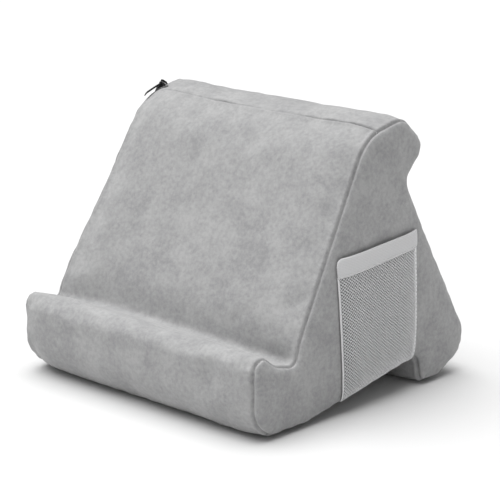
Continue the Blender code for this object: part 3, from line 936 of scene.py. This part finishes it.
def pocket_net(surface, sizes, material):
    """The knitted net: yarn between diamond openings, from hem to hem."""
    width, height = POCKET_FLAT
    bm = bmesh.new()
    unit_grid(bm, round(width / sizes.net_pitch), round(height / sizes.net_pitch))
    straight = [e for e in bm.edges if not e.is_boundary]
    bmesh.ops.poke(bm, faces=bm.faces[:])
    bmesh.ops.dissolve_edges(bm, edges=straight, use_verts=False)
    low, high = NET_EDGE / height, 1 - (sizes.band - NET_OVERLAP) / height
    side = NET_EDGE / width
    for vert in bm.verts:
        u = side + vert.co.x * (1 - 2 * side)
        v = low + vert.co.y * (high - low)
        vert.co = pocket_place(surface, u, v, 0.5 * MM)
    bm.normal_update()
    bmesh.ops.wireframe(
        bm,
        faces=bm.faces[:],
        thickness=sizes.net_cord,
        offset=0.0,
        use_replace=True,
        use_boundary=True,
        use_even_offset=False,
        use_relative_offset=False,
        use_crease=False,
        crease_weight=0.0,
    )
    bmesh.ops.recalc_face_normals(bm, faces=bm.faces)
    return link("pocket_net", bm, material)


def pocket_strip(name, surface, spans, cells, crown, thickness, material, corner=0.0):
    """A flat band sewn on the pocket, over u and v spans, a little crowned, its front top corner rounded."""
    width, height = POCKET_FLAT
    (u0, u1), (v0, v1) = spans
    across_u = cells[0] < cells[1]
    bm = bmesh.new()
    unit_grid(bm, *cells)
    for vert in bm.verts:
        share = vert.co.x if across_u else vert.co.y
        lift = crown * math.sqrt(max(0.0, 1 - (2 * share - 1) ** 4))
        u, v = u0 + (u1 - u0) * vert.co.x, v0 + (v1 - v0) * vert.co.y
        beyond = max(0.0, 1 - u * width / corner) if corner else 0.0
        v -= vert.co.y * corner / height * (1 - math.sqrt(1 - beyond * beyond))
        vert.co = pocket_place(surface, u, v, 0.2 * MM + thickness + lift)
    bmesh.ops.recalc_face_normals(bm, faces=bm.faces)
    if bm.faces[0].normal.x < 0:
        bmesh.ops.reverse_faces(bm, faces=bm.faces)
    bmesh.ops.solidify(bm, geom=bm.faces[:], thickness=thickness)
    bmesh.ops.recalc_face_normals(bm, faces=bm.faces)
    return link(name, bm, material)


def stitches(name, points, out, sizes, radius, material):
    """A row of stitches along a line of points, each a short raised loop of thread."""
    bm = bmesh.new()
    step, left = sizes.stitch * 1.35, 0.0
    for a, b in zip(points, points[1:]):
        along = b - a
        at = left
        while at < along.length:
            middle = a + along * (at / along.length)
            across = out.cross(along).normalized()
            frame_here = Matrix((along.normalized(), across, out)).transposed().to_4x4()
            size = Matrix.Diagonal((sizes.stitch / 2, radius, radius, 1))
            place = Matrix.Translation(middle) @ frame_here @ size
            bmesh.ops.create_uvsphere(bm, u_segments=6, v_segments=5, radius=1.0, matrix=place)
            at += step
        left = at - along.length
    bmesh.ops.recalc_face_normals(bm, faces=bm.faces)
    return link(name, bm, material)


class STAND_OT_pocket(bpy.types.Operator):
    """Knits the pocket's net, hems it and binds its mouth"""

    bl_idname = "stand.pocket"
    bl_label = "Mesh pocket"

    def execute(self, context):
        sizes, colours = context.scene.stand_sizes, context.scene.stand_colours
        surface = end_surface(1)
        yarn = knitted_yarn("polyester_net_yarn", colours.net, 0.9 * MM)
        tape = knitted_yarn("woven_elastic", colours.elastic, 1.3 * MM, 0.65)
        width, height = POCKET_FLAT
        hem, band = sizes.hem / width, sizes.band / height
        net = pocket_net(surface, sizes, yarn)
        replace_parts(net, "pocket_mesh")
        top = 1 - band + 1 * MM / height
        foot = 1.2 * MM / height
        hems = {"pocket_hem_front": (0, hem * 0.3), "pocket_hem_rear": (1 - hem, 1)}
        sewn_on = [
            pocket_strip(name, surface, (span, (foot, top)), (6, 40), 0.5 * MM, 0.7 * MM, yarn)
            for name, span in hems.items()
        ]
        spans = ((0, 1), (1 - band, 1))
        mouth = pocket_strip(
            "pocket_elastic", surface, spans, (72, 12), 0.7 * MM, 1.2 * MM, tape, corner=7 * MM
        )
        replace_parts(mouth, "pocket_band")
        out = Vector((1, 0, 0))
        u = 1 - hem * 0.6
        line = pocket_line(surface, (u, 0.03), (u, 0.85), 40, 1.5 * MM)
        sewn_on.append(stitches("stitches_rear_hem", line, out, sizes, 0.45 * MM, tape))
        v = 1 - band + 2.2 * MM / height
        line = pocket_line(surface, (0.01, v), (0.99, v), 48, 2.1 * MM)
        sewn_on.append(stitches("stitches_elastic", line, out, sizes, 0.3 * MM, tape))
        return {"FINISHED"}


def zip_blocks(blocks):
    """Boxes between two corners in the zip's own frame, with rounded edges, moved to the zip."""
    bm = bmesh.new()
    for low, high, edge in blocks:
        low, high = Vector(low) * MM, Vector(high) * MM
        place = Matrix.Translation((low + high) / 2) @ Matrix.Diagonal((*(high - low), 1))
        made = bmesh.ops.create_cube(bm, size=1.0, matrix=place)["verts"]
        bmesh.ops.bevel(
            bm,
            geom=in_order(e for v in made for e in v.link_edges),
            offset=edge * MM,
            offset_type="OFFSET",
            segments=2,
            profile=0.5,
            affect="EDGES",
            material=-1,
        )
    bm.transform(ZIP_FRAME)
    return bm


def zip_coil(name, side, sizes, material):
    """One row of the nylon coil: a turn of monofilament at each pitch."""
    bm = bmesh.new()
    at = ZIP_LOW + 3 * MM
    while at < COIL_TOP:
        shift = sizes.coil_pitch / 2 if side > 0 else 0.0
        place = Matrix.Translation((at + shift, side * COIL_SPREAD, 1.0 * MM))
        size = Matrix.Diagonal((sizes.coil_pitch * 0.36, *COIL_TURN, 1))
        bmesh.ops.create_uvsphere(bm, u_segments=8, v_segments=6, radius=1.0, matrix=ZIP_FRAME @ place @ size)
        at += sizes.coil_pitch
    bmesh.ops.recalc_face_normals(bm, faces=bm.faces)
    return link(name, bm, material)


def zip_welt(name, side, surface, material):
    """The plush's folded edge along one side of the zip, a soft roll over the tape's edge."""
    bm = bmesh.new()
    stations, around = 60, 10
    made = bmesh.ops.create_grid(bm, x_segments=stations, y_segments=around, size=1.0)["verts"]
    for k, vert in enumerate(made):
        row, column = divmod(k, stations + 1)
        along = ZIP_LOW - 3 * MM + (ZIP_HIGH - ZIP_LOW + 1 * MM) * column / stations
        turn = 2 * math.pi * row / around
        across = side * (WELT_AT + WELT_HALF * math.cos(turn))
        place = ZIP_MIDDLE + ZIP_UP * along + ZIP_ACROSS * side * WELT_AT
        base = min(surface(place.y, place.z), 0.2 * MM - place.x)
        at = ZIP_MIDDLE + ZIP_UP * along + ZIP_ACROSS * across
        wave = 0.15 * MM * noise.noise(Vector((along / (6 * MM), side, 0)))
        vert.co = (-(base + 0.1 * MM + (WELT_RISE + wave) * math.sin(turn)), at.y, at.z)
    bmesh.ops.remove_doubles(bm, verts=bm.verts, dist=1e-6)
    bmesh.ops.holes_fill(bm, edges=bm.edges, sides=0)
    bmesh.ops.recalc_face_normals(bm, faces=bm.faces)
    return link(name, bm, material)


class STAND_OT_zip(bpy.types.Operator):
    """Fits the zip's coil, slider, pull and stops"""

    bl_idname = "stand.zip"
    bl_label = "Zip"

    def execute(self, context):
        sizes, colours = context.scene.stand_sizes, context.scene.stand_colours
        tape = knitted_yarn("woven_zip_tape", colours.zip, 0.8 * MM, 0.7)
        enamel = enamelled_zinc(colours.enamel)
        finishes = {
            "zip_tape_front": tape,
            "zip_tape_rear": tape,
            "zip_tail": tape,
            "zip_top_stop": enamel,
            "zip_bottom_stop": enamel,
        }
        for node, finish in finishes.items():
            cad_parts[node].data.materials.clear()
            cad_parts[node].data.materials.append(finish)
        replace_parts(zip_coil("coil_front", -1, sizes, tape), "zip_coil_front")
        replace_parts(zip_coil("coil_rear", 1, sizes, tape), "zip_coil_rear")
        surface = end_surface(-1)
        plush = bpy.data.materials["crystal_velvet"]
        for name, side in (("zip_welt_front", -1), ("zip_welt_rear", 1)):
            smooth_out(zip_welt(name, side, surface, plush), 1)
        slider, pull = zip_blocks(SLIDER_BLOCKS), zip_blocks(PULL_BLOCKS)
        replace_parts(link("slider_body", slider, enamel, "slider"), "zip_slider")
        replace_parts(link("pull_tab", pull, enamel, "pull"), "zip_pull")
        return {"FINISHED"}


def add_sun(name, energy, spread, direction):
    """A broad soft light from far away, so that the whole floor is lit alike."""
    light = bpy.data.lights.new(name, "SUN")
    light.energy = energy
    light.angle = math.radians(spread)
    made = bpy.data.objects.new(name, light)
    bpy.context.scene.collection.objects.link(made)
    made.rotation_euler = Vector(direction).to_track_quat("Z", "Y").to_euler()


class STAND_OT_stage(bpy.types.Operator):
    """Sets up the floor, the light and the camera"""

    bl_idname = "stand.stage"
    bl_label = "Stage"

    def execute(self, context):
        scene = context.scene
        scene.view_settings.view_transform = "Standard"
        bm = bmesh.new()
        bmesh.ops.create_grid(bm, x_segments=1, y_segments=1, size=8.0)
        bm.transform(Matrix.Translation((0, 3.0, -0.0005)))
        mesh = bpy.data.meshes.new("studio_floor")
        bm.to_mesh(mesh)
        bm.free()
        floor = bpy.data.objects.new("studio_floor", mesh)
        scene.collection.objects.link(floor)
        # Matt paper: a pale sweep that keeps only a soft shadow.
        paper, _, shader = new_material("matt_paper", Roughness=1.0, Specular_IOR_Level=0.0)
        shader.inputs["Base Color"].default_value = srgb(scene.stand_colours.floor)
        mesh.materials.append(paper)

        world = bpy.data.worlds.new("studio")
        scene.world = world
        world.use_nodes = True
        sky = world.node_tree.nodes["Background"]
        sky.inputs["Color"].default_value = (1, 1, 1, 1)
        sky.inputs["Strength"].default_value = SKY_STRENGTH
        for sun in SUNS:
            add_sun(*sun)

        camera = bpy.data.cameras.new("camera")
        camera.lens = CAMERA_LENS
        camera.sensor_width = 36
        camera.clip_end = 100
        seen = bpy.data.objects.new("camera", camera)
        scene.collection.objects.link(seen)
        seen.location = CAMERA_PLACE
        seen.rotation_euler = (CAMERA_AIM - CAMERA_PLACE).to_track_quat("-Z", "Y").to_euler()
        scene.camera = seen
        return {"FINISHED"}


class STAND_PT_panel(bpy.types.Panel):
    """Sizes, colours and pieces of the cushion stand"""

    bl_idname = "STAND_PT_panel"
    bl_label = "Cushion Stand"
    bl_space_type = "VIEW_3D"
    bl_region_type = "UI"
    bl_category = "Stand"

    def draw(self, context):
        for group in (context.scene.stand_sizes, context.scene.stand_colours):
            box = self.layout.box()
            for name in group.__annotations__:
                box.prop(group, name)
        for operator in ("stand.cover", "stand.pocket", "stand.zip", "stand.stage"):
            self.layout.operator(operator)


CLASSES = (
    StandSizes,
    StandColours,
    STAND_OT_cover,
    STAND_OT_pocket,
    STAND_OT_zip,
    STAND_OT_stage,
    STAND_PT_panel,
)


def register():
    for cls in CLASSES:
        bpy.utils.register_class(cls)
    bpy.types.Scene.stand_sizes = PointerProperty(type=StandSizes)
    bpy.types.Scene.stand_colours = PointerProperty(type=StandColours)


def unregister():
    del bpy.types.Scene.stand_colours
    del bpy.types.Scene.stand_sizes
    for cls in reversed(CLASSES):
        bpy.utils.unregister_class(cls)


def main():
    register()
    bpy.ops.stand.cover()
    bpy.ops.stand.pocket()
    bpy.ops.stand.zip()
    bpy.ops.stand.stage()


if __name__ == "__main__":
    main()
